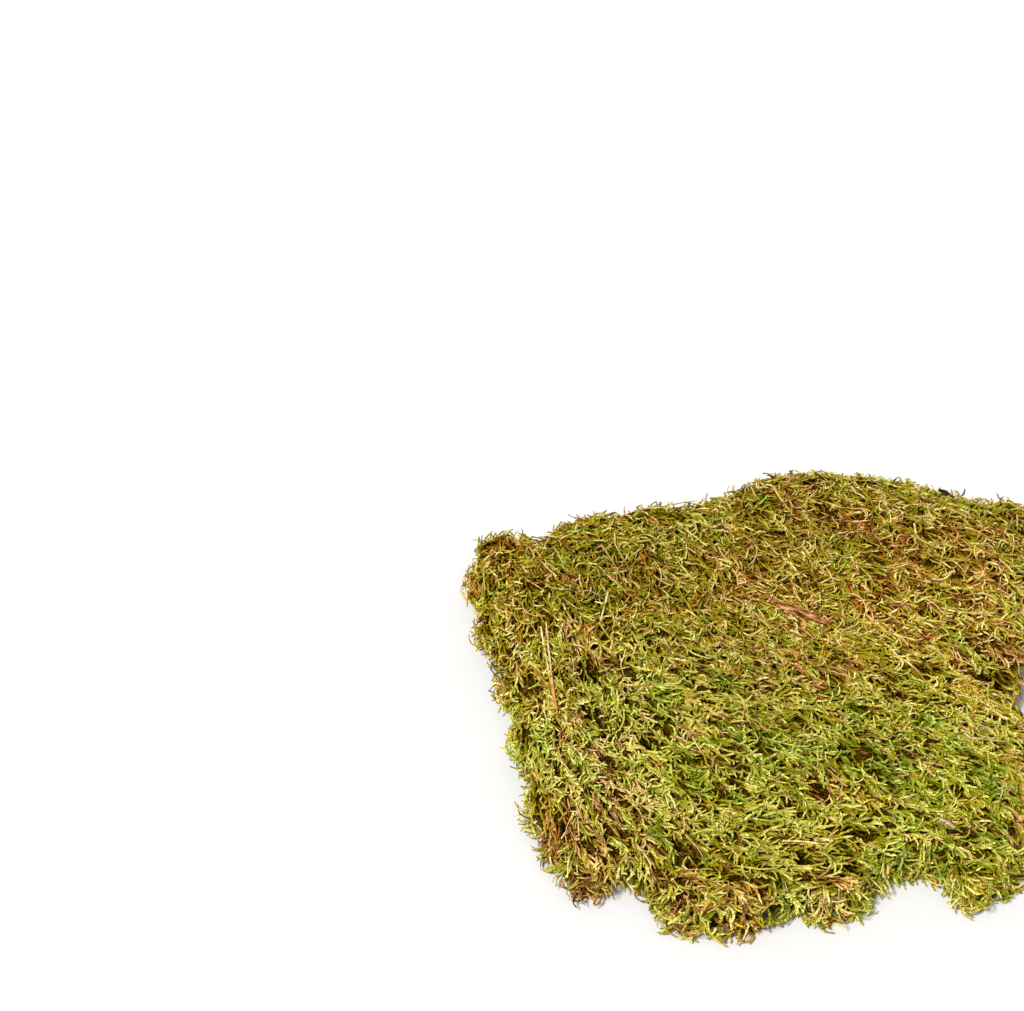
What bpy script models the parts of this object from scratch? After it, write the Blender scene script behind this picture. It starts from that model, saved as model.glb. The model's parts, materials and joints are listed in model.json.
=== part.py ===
"""Moss clump: a mat of sheet moss lifted off the ground in one piece, with forest litter lying on it.

The moss grew as one thing, so it is one solid. Its surface runs through the tips of the shoots and
has the tufts, tongues, ledges and pits of the mat. Needles, stems and bark that fell on the mat are
solids of their own. Metres, +Z up, +X to the right and +Y away from the viewer. The mat rests on
its flat underside at z = 0, and the origin is under the middle of its box.
"""

import math
import random

import bmesh
import bpy
import numpy as np
from mathutils import Euler, Matrix, Vector
from mathutils.bvhtree import BVHTree

MM = 0.001
SEED = 41

# The mat seen from above, in millimetres: its margin from the back left corner round by the right.
MARGIN_MM = (
    (-174, 117), (-139, 116), (-121, 133), (-78, 144), (-40, 147), (-14, 160), (8, 173), (34, 179),
    (68, 177), (100, 171), (126, 162), (150, 152), (174, 150), (184, 130), (172, 104), (168, 78),
    (157, 54), (154, 32), (143, 8), (134, -18), (131, -32), (138, -48), (130, -68), (129, -88),
    (121, -104), (122, -124), (113, -141), (101, -146), (92, -149), (84, -160), (76, -146),
    (65, -141), (57, -133), (47, -141), (35, -147), (22, -163), (5, -168), (-9, -160), (-25, -168),
    (-42, -174), (-63, -175), (-80, -168), (-89, -149), (-105, -142), (-119, -154), (-131, -140),
    (-143, -119), (-149, -98), (-146, -80), (-158, -56), (-155, -34), (-168, -8), (-166, 14),
    (-179, 36), (-176, 58), (-185, 80), (-180, 102),
)
MARGIN_STEPS = 5
BODY_HEIGHT = 31 * MM
LIP_HEIGHT = 11 * MM
RIM_WIDTH = 26 * MM
SLAB_INSET = 6 * MM
SLAB_ROUNDING = 3 * MM
UNDERCUT = 8 * MM

# Broad swells of the top: place, spread and rise, in millimetres.
SWELLS_MM = (
    (66, 140, 46, 9), (22, 158, 18, 6), (-152, 30, 24, 7), (-15, -60, 46, 6), (92, -98, 30, 6),
    (-70, 100, 36, 5), (145, 110, 26, 4), (-55, -125, 28, -5), (12, 62, 34, -5), (-95, -10, 22, -5),
    (60, -150, 24, -6), (45, -25, 22, -4), (105, 45, 24, 4), (-135, 95, 20, 3),
)
# Pits where the shoots part: place, spread and depth, in millimetres.
PITS_MM = (
    (-112, -6, 7, 11), (-113, -41, 6, 10), (-108, -56, 6, 9), (-78, -63, 6, 8), (-164, 11, 6, 8),
    (-32, 17, 6, 6), (-18, 13, 5, 6), (65, -26, 6, 8), (114, 16, 7, 9), (127, -11, 9, 13),
    (9, -103, 7, 8), (-7, -143, 6, 7), (19, -147, 6, 9), (-70, -152, 8, 10), (-131, -115, 8, 10),
    (48, 118, 5, 5), (-60, 40, 5, 5), (20, -60, 5, 5), (118, 69, 6, 6), (-40, -85, 5, 5),
    (-106, 23, 5, 5), (-55, -150, 5, 6),
)
# A crease runs down the left third of the mat, along these points, in millimetres.
CREASE_MM = ((-112, 52), (-118, 10), (-113, -47), (-100, -92), (-108, -136))
CREASE_SPREAD = 6 * MM
CREASE_DEPTH = 5 * MM

TUFT_SPACING = 11.5 * MM
TUFT_RADIUS = (5.5 * MM, 9.0 * MM)
TUFT_STRETCH = 1.4
TUFT_HALF_HEIGHT = (4.0 * MM, 7.5 * MM)
TUFT_LIFT = 2.4 * MM
TUFT_SINK = 0.6
TUFT_TILT = 0.3
TUFT_SWING = 0.6
RIM_TUFT_SPACING = 7.5 * MM
RIM_TUFT_LENGTH = (7.0 * MM, 11.5 * MM)
RIM_TUFT_WIDTH = (3.8 * MM, 6.2 * MM)
RIM_TUFT_HALF_HEIGHT = (3.5 * MM, 5.5 * MM)
RIM_TUFT_SCATTER = 2 * MM
RIM_TUFT_UNEVEN = 0.3
RIM_TUFT_DROOP = (0.05, 0.5)
RIM_TUFT_SWING = 0.5
# Rows of rim tufts, lowest first: height and distance in from the margin, in millimetres. At the
# front the lowest row lies on the ground and leads. Round the sides and back the middle row leads.
FRONT_RIM_ROWS_MM = ((4.5, 4.0), (12.0, 10.0), (20.0, 15.0))
SIDE_RIM_ROWS_MM = ((8.5, 7.5), (16.0, 4.0), (23.0, 6.5))
FRONT_ROWS_FADE = (-125 * MM, -95 * MM)

# The way the shoots lie in each part of the mat, in degrees from +X seen from above.
COMB_MIDDLE = -36
COMB_LEFT = -82
COMB_FRONT = -6
COMB_RIGHT = -22
LEFT_FADE = (-130 * MM, -40 * MM)
FRONT_FADE = (-130 * MM, -75 * MM)
RIGHT_FADE = (90 * MM, 150 * MM)

FUSE_VOXEL = 3.4 * MM
SOFTENING = 0.5
SMOOTH_STEPS = 2
MOSS_KEPT_FACES = 0.139
MOSS_COLOUR = (0.22, 0.23, 0.035)
MOSS_ROUGHNESS = 0.95
CUTTER_SIZE = (0.6, 0.6, 0.05)

# How litter rests on the moss: the gap left under it, and where its height is fitted.
REST_GAP = 0.35 * MM
FITTED_PLACES = 60
FOOT_SPREAD = 1.2
OVER_ALL = 0.2
# Tubes shorter than this stay straight where they rest, and longer ones may sag in one even bend.
STIFF_LENGTH = 27 * MM
TUBE_POINTS = 11
WELD = 0.01 * MM

# Litter tubes: route seen from above in millimetres, radius at each end in millimetres, and colour.
TUBES = {
    "grass_straw": (((92.2, -70.6), (103.4, -69.6), (114.5, -69.4)), (0.75, 0.5), (0.60, 0.47, 0.25)),
    "grey_needle": (((106.7, -100.5), (103.9, -108), (100.7, -115.5)), (0.6, 0.45), (0.42, 0.36, 0.28)),
    "dry_twig": (((-20.3, 8.3), (-11, 7.2), (-1.5, 6.6)), (0.75, 0.55), (0.20, 0.11, 0.06)),
    "pink_stem": (((-91.7, -94.3), (-89, -102.5), (-85, -111)), (0.7, 0.6), (0.48, 0.30, 0.20)),
    "pale_stem": (((-90.8, -106), (-91.5, -109.2), (-92.6, -112.7)), (0.6, 0.5), (0.62, 0.50, 0.32)),
    "back_straw": (((104, 161), (104.6, 150.8), (105, 139)), (0.6, 0.85), (0.60, 0.44, 0.30)),
    "curved_straw": (((100, 35), (114.7, 32.5), (131.6, 32.2)), (0.55, 0.75), (0.58, 0.48, 0.22)),
    "pale_needle": (((-100.6, 52), (-103.2, 40), (-106.3, 29)), (0.65, 0.45), (0.55, 0.46, 0.20)),
}
# The pair of pine needles: the route of each from their common base, in millimetres.
NEEDLES_MM = (
    ((-134.3, -44), (-138.6, -11), (-142.4, 16.5)),
    ((-134.3, -44), (-137.0, -11), (-139.2, 20)),
)
NEEDLE_RADIUS = 0.6 * MM
NEEDLE_BASE_RADIUS = 0.85 * MM
NEEDLE_TIP_RADIUS = 0.25 * MM
NEEDLE_SHEATH_SHARE = 0.12
NEEDLE_COLOUR = (0.60, 0.45, 0.20)
TUBE_ROUGHNESS = 0.7
# Bark pieces: centre in millimetres, turn in degrees, length, width and thickness, and colour.
BARK = {
    "bark_sliver": ((15.7, 36.3), -29.5, (40, 7, 1.9), (0.33, 0.12, 0.06)),
    "bark_flake": ((71.5, -126), -34, (10, 4.2, 1.2), (0.36, 0.27, 0.23)),
    "bark_chip": ((125, 144.7), -71, (17, 5.0, 1.6), (0.06, 0.035, 0.025)),
}
BARK_CUTS = 7
BARK_TAPER = 0.55
BARK_THINNING = 0.4
BARK_RAGGED_SIDE = 0.28
BARK_RAGGED_FACE = 0.15
BARK_ROUGHNESS = 0.85


def clear_scene():
    for obj in list(bpy.data.objects):
        bpy.data.objects.remove(obj, do_unlink=True)


def add_collection(name):
    collection = bpy.data.collections.new(name)
    bpy.context.scene.collection.children.link(collection)
    return collection


def add_object(name, mesh, collection):
    obj = bpy.data.objects.new(name, mesh)
    collection.objects.link(obj)
    return obj


def plain_material(name, colour, roughness):
    material = bpy.data.materials.new(name)
    material.use_nodes = True
    shader = material.node_tree.nodes["Principled BSDF"]
    shader.inputs["Base Color"].default_value = (*colour, 1)
    shader.inputs["Roughness"].default_value = roughness
    shader.inputs["Metallic"].default_value = 0
    return material


def closed_curve(points, steps):
    """Points of a smooth closed curve through the given ones, in metres."""
    points = np.array(points, float) * MM
    count = len(points)
    curve = []
    for i in range(count):
        before, start, end, after = (points[(i + k - 1) % count] for k in range(4))
        for step in range(steps):
            t = step / steps
            curve.append(
                0.5
                * (
                    2 * start
                    + (end - before) * t
                    + (2 * before - 5 * start + 4 * end - after) * t**2
                    + (3 * start - before - 3 * end + after) * t**3
                )
            )
    return np.array(curve)


def segment_distance(points, start, end):
    """Distance from each point to one straight segment, seen from above."""
    along = end - start
    share = np.clip((points - start) @ along / (along @ along), 0, 1)
    return np.linalg.norm(points - start - share[:, None] * along, axis=1)


def depth_inside(points, loop):
    """How far each point lies inside the loop; it is negative outside."""
    ends = np.roll(loop, -1, axis=0)
    near = np.full(len(points), np.inf)
    crossings = np.zeros(len(points), int)
    for start, end in zip(loop, ends):
        near = np.minimum(near, segment_distance(points, start, end))
        spans = (start[1] > points[:, 1]) != (end[1] > points[:, 1])
        rise = end[1] - start[1] if end[1] != start[1] else 1e-12
        reach = start[0] + (points[:, 1] - start[1]) * (end[0] - start[0]) / rise
        crossings += spans & (points[:, 0] < reach)
    return np.where(crossings % 2 == 1, near, -near)


def spot(points, place, spread):
    """A round bump of height 1 at a place, falling off over its spread."""
    offset = points - np.array(place) * MM
    return np.exp(-(offset**2).sum(axis=1) / (2 * (spread * MM) ** 2))


def top_height(points, loop):
    """Height of the mat's top over each point seen from above."""
    depth = np.clip(depth_inside(points, loop) / RIM_WIDTH, 0, 1)
    height = LIP_HEIGHT + (BODY_HEIGHT - LIP_HEIGHT) * np.sqrt(1 - (1 - depth) ** 2)
    for x, y, spread, rise in SWELLS_MM:
        height += depth * rise * MM * spot(points, (x, y), spread)
    for x, y, spread, fall in PITS_MM:
        height -= fall * MM * spot(points, (x, y), spread)
    crease = np.array(CREASE_MM) * MM
    near = np.min([segment_distance(points, a, b) for a, b in zip(crease, crease[1:])], axis=0)
    height -= CREASE_DEPTH * np.exp(-(near**2) / (2 * CREASE_SPREAD**2))
    return np.maximum(height, LIP_HEIGHT / 2)


def step_up(value, start, end):
    """0 before start, 1 after end, and smooth between them."""
    share = min(max((value - start) / (end - start), 0), 1)
    return share * share * (3 - 2 * share)


def comb_angle(x, y):
    """Direction in which the shoots lie, as an angle from +X seen from above."""
    left = 1 - step_up(x, *LEFT_FADE)
    front = (1 - step_up(y, *FRONT_FADE)) * (1 - left)
    right = step_up(x, *RIGHT_FADE) * (1 - front)
    angle = COMB_MIDDLE + (COMB_LEFT - COMB_MIDDLE) * left
    angle += (COMB_FRONT - COMB_MIDDLE) * front + (COMB_RIGHT - COMB_MIDDLE) * right
    return math.radians(angle)


def slab_mesh(loop):
    """The body of the mat: its outline filled and thickened, then raised to the height of the top."""
    curve = bpy.data.curves.new("slab", "CURVE")
    curve.dimensions = "2D"
    curve.fill_mode = "BOTH"
    curve.extrude = (BODY_HEIGHT + UNDERCUT) / 2 - SLAB_ROUNDING
    curve.bevel_depth = SLAB_ROUNDING
    curve.bevel_resolution = 1
    curve.offset = -SLAB_INSET - SLAB_ROUNDING
    spline = curve.splines.new("POLY")
    spline.points.add(len(loop) - 1)
    for point, (x, y) in zip(spline.points, loop):
        point.co = (x, y, 0, 1)
    spline.use_cyclic_u = True
    guide = add_object("slab", curve, bpy.context.scene.collection)
    guide.location.z = (BODY_HEIGHT - UNDERCUT) / 2
    remesh = guide_to_mesh(guide)
    remesh.modifiers.new("Even out", "REMESH").voxel_size = FUSE_VOXEL
    mesh = evaluated_mesh(remesh)
    bpy.data.objects.remove(remesh)
    raise_top(mesh, loop)
    return mesh


def evaluated_mesh(obj):
    bpy.context.view_layer.update()
    graph = bpy.context.evaluated_depsgraph_get()
    mesh = bpy.data.meshes.new_from_object(obj.evaluated_get(graph))
    mesh.transform(obj.matrix_world)
    return mesh


def guide_to_mesh(guide):
    """Replaces a curve object by a mesh object of the same shape, its caps welded to its sides."""
    mesh = evaluated_mesh(guide)
    shape = bmesh.new()
    shape.from_mesh(mesh)
    bmesh.ops.remove_doubles(shape, verts=shape.verts, dist=WELD)
    bmesh.ops.recalc_face_normals(shape, faces=shape.faces)
    shape.to_mesh(mesh)
    shape.free()
    name = guide.name
    collection = guide.users_collection[0]
    bpy.data.objects.remove(guide)
    return add_object(name, mesh, collection)


def raise_top(mesh, loop):
    places = np.empty(len(mesh.vertices) * 3)
    mesh.vertices.foreach_get("co", places)
    places = places.reshape(-1, 3)
    above = places[:, 2] > 0
    heights = top_height(places[above, :2], loop)
    places[above, 2] *= heights / BODY_HEIGHT
    mesh.vertices.foreach_set("co", places.ravel())


def lump(place, radii, turn):
    """Where a ball of radius 1 goes to become one lump of this size, place and turn."""
    return Matrix.Translation(place) @ turn.to_matrix().to_4x4() @ Matrix.Diagonal((*radii, 1))


def lumps_mesh(lumps):
    """One mesh of a squashed ball for every lump."""
    ball = bmesh.new()
    bmesh.ops.create_icosphere(ball, subdivisions=2, radius=1)
    corners = np.array([(*vertex.co, 1) for vertex in ball.verts])
    faces = np.array([[vertex.index for vertex in face.verts] for face in ball.faces])
    ball.free()
    places = np.concatenate([corners @ np.array(matrix).T for matrix in lumps])[:, :3]
    all_faces = np.concatenate([faces + i * len(corners) for i in range(len(lumps))])
    mesh = bpy.data.meshes.new("lumps")
    mesh.from_pydata(places.tolist(), [], all_faces.tolist())
    return mesh


def top_tufts(loop, rng):
    """Squashed lumps all over the top, drawn out along the way the shoots lie."""
    low = loop.min(axis=0)
    high = loop.max(axis=0)
    places = []
    for x in np.arange(low[0], high[0], TUFT_SPACING):
        for y in np.arange(low[1], high[1], TUFT_SPACING):
            jitter = (rng.uniform(-0.5, 0.5) * TUFT_SPACING, rng.uniform(-0.5, 0.5) * TUFT_SPACING)
            places.append((x + jitter[0], y + jitter[1]))
    places = np.array(places)
    places = places[depth_inside(places, loop) > SLAB_INSET]
    lumps = []
    for (x, y), top in zip(places, top_height(places, loop)):
        radius = rng.uniform(*TUFT_RADIUS)
        half_height = rng.uniform(*TUFT_HALF_HEIGHT)
        lift = rng.uniform(-TUFT_LIFT, TUFT_LIFT) - TUFT_SINK * half_height
        roll = rng.uniform(-TUFT_TILT, TUFT_TILT)
        pitch = rng.uniform(-TUFT_TILT, TUFT_TILT)
        heading = comb_angle(x, y) + rng.uniform(-TUFT_SWING, TUFT_SWING)
        if in_pit(x, y):
            continue
        radii = (radius * TUFT_STRETCH, radius / TUFT_STRETCH, half_height)
        lumps.append(lump((x, y, top + lift), radii, Euler((roll, pitch, heading))))
    return lumps


def in_pit(x, y):
    return any(math.dist((x, y), (px * MM, py * MM)) < spread * MM for px, py, spread, _ in PITS_MM)


def rim_tufts(loop, rng):
    """Tufts that stick out all round the margin, in rows one above the other, and droop outwards."""
    lumps = []
    for front_row, side_row in zip(FRONT_RIM_ROWS_MM, SIDE_RIM_ROWS_MM):
        travelled = 0
        for start, end in zip(loop, np.roll(loop, -1, axis=0)):
            travelled += math.dist(start, end)
            if travelled < RIM_TUFT_SPACING:
                continue
            travelled = rng.uniform(-RIM_TUFT_UNEVEN, RIM_TUFT_UNEVEN) * RIM_TUFT_SPACING
            along = (end - start) / math.dist(start, end)
            outward = math.atan2(along[0], -along[1])
            front = 1 - step_up(start[1], *FRONT_ROWS_FADE)
            level, setback = (front * a + (1 - front) * b for a, b in zip(front_row, side_row))
            setback = setback * MM + rng.uniform(-RIM_TUFT_SCATTER, RIM_TUFT_SCATTER)
            z = level * MM + rng.uniform(-RIM_TUFT_SCATTER, RIM_TUFT_SCATTER)
            x = start[0] - math.cos(outward) * setback
            y = start[1] - math.sin(outward) * setback
            length = rng.uniform(*RIM_TUFT_LENGTH)
            width = rng.uniform(*RIM_TUFT_WIDTH)
            half_height = rng.uniform(*RIM_TUFT_HALF_HEIGHT)
            heading = outward + rng.uniform(-RIM_TUFT_SWING, RIM_TUFT_SWING)
            turn = Euler((0, rng.uniform(*RIM_TUFT_DROOP), heading))
            lumps.append(lump((x, y, z), (length, width, half_height), turn))
    return lumps


def moss_mat(loop, parts, cutters):
    """The whole mat as one solid, cut off flat underneath."""
    rng = random.Random(SEED)
    shape = bmesh.new()
    shape.from_mesh(slab_mesh(loop))
    shape.from_mesh(lumps_mesh(top_tufts(loop, rng) + rim_tufts(loop, rng)))
    mesh = bpy.data.meshes.new("moss_mat")
    shape.to_mesh(mesh)
    shape.free()
    moss = add_object("moss_mat", mesh, parts)
    moss.modifiers.new("Fuse", "REMESH").voxel_size = FUSE_VOXEL
    smooth = moss.modifiers.new("Soften", "SMOOTH")
    smooth.factor = SOFTENING
    smooth.iterations = SMOOTH_STEPS
    moss.modifiers.new("Thin out", "DECIMATE").ratio = MOSS_KEPT_FACES
    cut = moss.modifiers.new("Cut flat", "BOOLEAN")
    cut.operation = "DIFFERENCE"
    cut.object = ground_cutter(cutters)
    moss.data.materials.append(plain_material("moss", MOSS_COLOUR, MOSS_ROUGHNESS))
    return moss


def ground_cutter(cutters):
    """A block under z = 0 that cuts the underside flat."""
    bpy.ops.mesh.primitive_cube_add(size=1, location=(0, 0, -CUTTER_SIZE[2] / 2))
    cutter = bpy.context.object
    cutter.name = "ground_cutter"
    cutter.scale = CUTTER_SIZE
    bpy.ops.object.transform_apply(location=True, rotation=False, scale=True)
    for collection in list(cutter.users_collection):
        collection.objects.unlink(cutter)
    cutters.objects.link(cutter)
    cutter.hide_render = True
    cutter.display_type = "WIRE"
    return cutter


def centre_over_origin(moss):
    """Moves the mat so that the middle of its box stands over the origin."""
    box = np.array([vertex.co for vertex in evaluated_mesh(moss).vertices])
    middle = (box.min(axis=0) + box.max(axis=0)) / 2
    moss.location.x -= middle[0]
    moss.location.y -= middle[1]
    bpy.context.view_layer.update()
    return Vector((middle[0], middle[1]))


def surface_under(moss):
    """A function that gives the height of the moss under a place."""
    shape = bmesh.new()
    shape.from_mesh(evaluated_mesh(moss))
    tree = BVHTree.FromBMesh(shape)
    shape.free()

    def height(x, y):
        hit = tree.ray_cast(Vector((x, y, OVER_ALL)), Vector((0, 0, -1)))[0]
        return hit.z if hit else 0.0

    return height


def resting_heights(route, half_width, height, bend):
    """Heights of a stiff piece's middle line, straight or in one even bend, resting on the moss."""
    spans = np.linalg.norm(np.diff(route, axis=0), axis=1)
    along = np.concatenate([[0], np.cumsum(spans)])
    fine = np.linspace(0, along[-1], FITTED_PLACES)
    xs = np.interp(fine, along, route[:, 0])
    ys = np.interp(fine, along, route[:, 1])
    reach = FOOT_SPREAD * half_width
    offsets = [(dx, dy) for dx in (-reach, 0, reach) for dy in (-reach, 0, reach)]
    under = np.array([max(height(x + dx, y + dy) for dx, dy in offsets) for x, y in zip(xs, ys)])
    line = np.polynomial.Polynomial.fit(fine, under, 2 if bend else 1)
    lift = (under - line(fine)).max() + REST_GAP
    return line(along) + lift


def smooth_route(points, shift):
    """Points along a smooth open curve through three given ones."""
    points = np.array(points, float) * MM - np.array(shift)
    line = np.array([0, 0.5, 1])
    t = np.linspace(0, 1, TUBE_POINTS)
    columns = [np.polynomial.Polynomial.fit(line, points[:, k], 2)(t) for k in range(2)]
    return np.stack(columns, axis=1)


def tube_object(name, route, middle, radii, parts):
    """A capped tube along a route seen from above, with the height and radius at each point."""
    curve = bpy.data.curves.new(name, "CURVE")
    curve.dimensions = "3D"
    curve.bevel_depth = 1
    curve.bevel_resolution = 1
    curve.use_fill_caps = True
    spline = curve.splines.new("POLY")
    spline.points.add(len(route) - 1)
    for point, place, height, radius in zip(spline.points, route, middle, radii):
        point.co = (*place, height, 1)
        point.radius = radius
    return guide_to_mesh(add_object(name, curve, parts))


def add_tube(name, parts, height, shift):
    """One needle, stem or straw lying on the moss."""
    points, (radius, tip_radius), colour = TUBES[name]
    route = smooth_route(points, shift)
    widest = max(radius, tip_radius) * MM
    bend = np.linalg.norm(route[-1] - route[0]) > STIFF_LENGTH
    middle = resting_heights(route, widest, height, bend) + widest
    radii = np.linspace(radius, tip_radius, TUBE_POINTS) * MM
    tube = tube_object(name, route, middle, radii, parts)
    tube.data.materials.append(plain_material(name, colour, TUBE_ROUGHNESS))
    return tube


def add_needle_pair(parts, height, shift):
    """Two pine needles that grew together from one sheath, lying on the moss."""
    share = np.linspace(0, 1, TUBE_POINTS)
    radii = np.where(share < NEEDLE_SHEATH_SHARE, NEEDLE_BASE_RADIUS, NEEDLE_RADIUS)
    radii[-1] = NEEDLE_TIP_RADIUS
    needles = []
    for points in NEEDLES_MM:
        route = smooth_route(points, shift)
        middle = resting_heights(route, NEEDLE_BASE_RADIUS, height, bend=True) + NEEDLE_BASE_RADIUS
        needles.append(tube_object("pine_needle_pair", route, middle, radii, parts))
    first, second = needles
    join = first.modifiers.new("Join", "BOOLEAN")
    join.operation = "UNION"
    join.object = second
    mesh = evaluated_mesh(first)
    first.modifiers.clear()
    first.data = mesh
    bpy.data.objects.remove(second)
    first.data.materials.append(plain_material("pine_needle_pair", NEEDLE_COLOUR, TUBE_ROUGHNESS))
    return first


def add_bark(name, parts, height, shift):
    """One piece of bark: a thin board with ragged, tapered ends, resting on the moss."""
    centre, degrees, (length, width, thickness), colour = BARK[name]
    centre = np.array(centre) * MM - np.array(shift)
    rng = random.Random(name)
    half = np.array((length, width, thickness)) * MM / 2
    shape = bmesh.new()
    bmesh.ops.create_cube(shape, size=2)
    lengthwise = [e for e in shape.edges if abs(e.verts[0].co.x - e.verts[1].co.x) > 1]
    bmesh.ops.subdivide_edges(shape, edges=lengthwise, cuts=BARK_CUTS, use_grid_fill=True)
    for vertex in shape.verts:
        taper = 1 - BARK_TAPER * vertex.co.x**2
        thinning = 1 - BARK_THINNING * abs(vertex.co.x)
        side = vertex.co.y * taper + rng.uniform(-BARK_RAGGED_SIDE, BARK_RAGGED_SIDE)
        face = vertex.co.z * thinning + rng.uniform(-BARK_RAGGED_FACE, BARK_RAGGED_FACE)
        vertex.co = (vertex.co.x * half[0], side * half[1], face * half[2])
    mesh = bpy.data.meshes.new(name)
    shape.to_mesh(mesh)
    shape.free()
    bark = add_object(name, mesh, parts)
    turn = math.radians(degrees)
    along = np.array([math.cos(turn), math.sin(turn)])
    share = np.linspace(-1, 1, 5)[:, None]
    route = centre + along * share * half[0]
    middle = resting_heights(route, half[1], height, bend=False) + half[2] * (1 + BARK_RAGGED_FACE)
    pitch = -math.atan2(middle[-1] - middle[0], 2 * half[0])
    bark.location = (*centre, middle.mean())
    bark.rotation_euler = (0, pitch, turn)
    subdivide = bark.modifiers.new("Round", "SUBSURF")
    subdivide.levels = 1
    subdivide.render_levels = 1
    bark.data.materials.append(plain_material(name, colour, BARK_ROUGHNESS))
    return bark


def main():
    clear_scene()
    parts = add_collection("moss_clump")
    cutters = add_collection("cutters")
    loop = closed_curve(MARGIN_MM, MARGIN_STEPS)
    moss = moss_mat(loop, parts, cutters)
    shift = centre_over_origin(moss)
    height = surface_under(moss)
    add_needle_pair(parts, height, shift)
    for name in TUBES:
        add_tube(name, parts, height, shift)
    for name in BARK:
        add_bark(name, parts, height, shift)


main()
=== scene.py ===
"""The looks of the moss clump: a dried mat of sheet moss with forest litter lying on it.

The moss is made of plump shoots that creep over the solid mat, whose surface runs through their tips.
Each shoot is a closed tube whose rings are turned against each other, so that its edge is toothed as by
small leaves. Most grow as feathery sprigs: a stem with side branches. Short shoots fill the gaps under
them, bare old stems and long strays lie singly, and more shoots arch over the litter. In places the shoots
part into pits, where the dark matted thatch inside shows. The thatch's darkness is partly its own and partly
painted shade. The shoots are darker low down, partly by their older browner parts and partly by painted
shade, and painted shade darkens them near the floor and in the pits. Their pale tips are partly their own
dry colour and partly painted highlight. Torn fibres lie along the bark. Metres, in the frame of the solids.
"""

import json
import math
from collections import namedtuple
from copy import copy
from itertools import product

import bpy
import numpy as np
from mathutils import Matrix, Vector, noise
from mathutils.bvhtree import BVHTree


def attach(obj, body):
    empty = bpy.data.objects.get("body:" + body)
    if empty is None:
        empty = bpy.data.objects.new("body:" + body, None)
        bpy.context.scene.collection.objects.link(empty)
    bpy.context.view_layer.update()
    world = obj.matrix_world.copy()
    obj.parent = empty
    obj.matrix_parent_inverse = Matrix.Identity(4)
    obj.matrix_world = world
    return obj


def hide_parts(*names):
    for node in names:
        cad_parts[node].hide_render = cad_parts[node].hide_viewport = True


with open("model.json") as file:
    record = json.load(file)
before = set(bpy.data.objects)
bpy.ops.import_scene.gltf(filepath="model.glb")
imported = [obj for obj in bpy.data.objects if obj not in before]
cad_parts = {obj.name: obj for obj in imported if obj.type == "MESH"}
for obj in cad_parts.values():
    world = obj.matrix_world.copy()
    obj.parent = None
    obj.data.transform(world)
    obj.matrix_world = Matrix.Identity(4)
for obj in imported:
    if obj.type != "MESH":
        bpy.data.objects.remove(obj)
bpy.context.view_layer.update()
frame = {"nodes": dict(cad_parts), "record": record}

MM = 0.001
SEED = 11

# The camera: its place, how far it looks down and its lens.
CAMERA_PLACE = (-0.1595, -0.6849, 0.72)
CAMERA_DOWN = math.radians(40)
CAMERA_LENS = 57.5

# Light: a broad soft key from the front left and an even surround.
KEY_FROM = (-0.42, -0.38, 0.82)
KEY_STRENGTH = 4.2
KEY_ANGLE = math.radians(12)
KEY_COLOUR = (1.0, 0.985, 0.96)
SURROUND_STRENGTH = 0.55
SURROUND_COLOUR = (1.0, 0.985, 0.94)

# The floor lies a little under the mat.
FLOOR_SIZE = 80.0
FLOOR_DROP = 0.3 * MM
FLOOR_COLOUR = (0.64, 0.645, 0.66)
FLOOR_ROUGHNESS = 0.6
FLOOR_GLOSS = 0.2

# The shoots creep over a guide, which bridges dips in the solid narrower than twice this.
BRIDGED = 6.0 * MM
GUIDE_VOXEL = 2.5 * MM

# The dark core: how far it lies under the tips, and below what height it is drawn out down to the floor.
CORE_DEPTH = 4.0 * MM
CORE_VOXEL = 5.0 * MM
CORE_FOOT = 12.0 * MM

# How a kind of shoot is made: its sides and rings, and in radii its widths at root, middle and tip, its
# teeth and the length of its point.
Form = namedtuple("Form", "sides rings widths teeth point")
STEM = Form(3, 7, (0.8, 1.0, 0.7), 0.16, 1.6)
BRANCH = Form(3, 5, (0.8, 1.0, 0.65), 0.18, 1.8)
UNDER_SHOOT = Form(3, 4, (0.8, 1.0, 0.8), 0.15, 1.2)
OLD_STEM = Form(3, 7, (0.8, 1.0, 0.5), 0.0, 1.5)
STRAY = Form(3, 10, (0.8, 1.0, 0.6), 0.16, 1.8)
FIBRE = Form(3, 6, (0.5, 1.0, 0.4), 0.25, 2.0)

# Sprigs: how many, how many places are tried for each, their gaps, and how much denser they are on the rim.
SPRIGS = 3300
TRIES = 4
SPRIG_GAP = 4.3 * MM
RIM_GAP = 3.3 * MM
RIM_DENSER = 1.1

# Their stems and side branches. Pairs of measures are the least and the most.
STEM_LENGTH = (10 * MM, 20 * MM)
STEM_RADIUS = (0.5 * MM, 0.8 * MM)
STEM_TURN = 0.6
BRANCHES = 7
BRANCH_LENGTH = (4.0 * MM, 9.5 * MM)
BRANCH_RADIUS = (0.54 * MM, 0.94 * MM)
BRANCH_SPREAD = (math.radians(5), math.radians(32))
BRANCH_TURN = 0.85
BRANCH_UNDER = 0.6 * MM
OUTER_SHORTER = 0.3
ROOT_DEPTH = (-4.0 * MM, -1.8 * MM)
TIP_RISE = (-2.0 * MM, 1.4 * MM)
ARCH = 0.7 * MM

# The share of side branches that curl up out of the mat, and their making.
CURLS = 0.24
CURL_RISE = (1.5 * MM, 4.0 * MM)
CURL_TURN = 2.2

# How the sprigs differ on the rim and at the back: their tips on the rim, shares by which a measure changes,
# and where along Y the back begins and where it is in full.
RIM_TIP_RISE = (-3.5 * MM, 7.0 * MM)
RIM_CURLIER = 0.8
RIM_SHORTER = 0.2
BACK_LONGER = 0.75
BACK_CURLIER = 0.9
BACK_THINNER = 0.08
BACK_GROWTH = (-60 * MM, 80 * MM)

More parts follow.
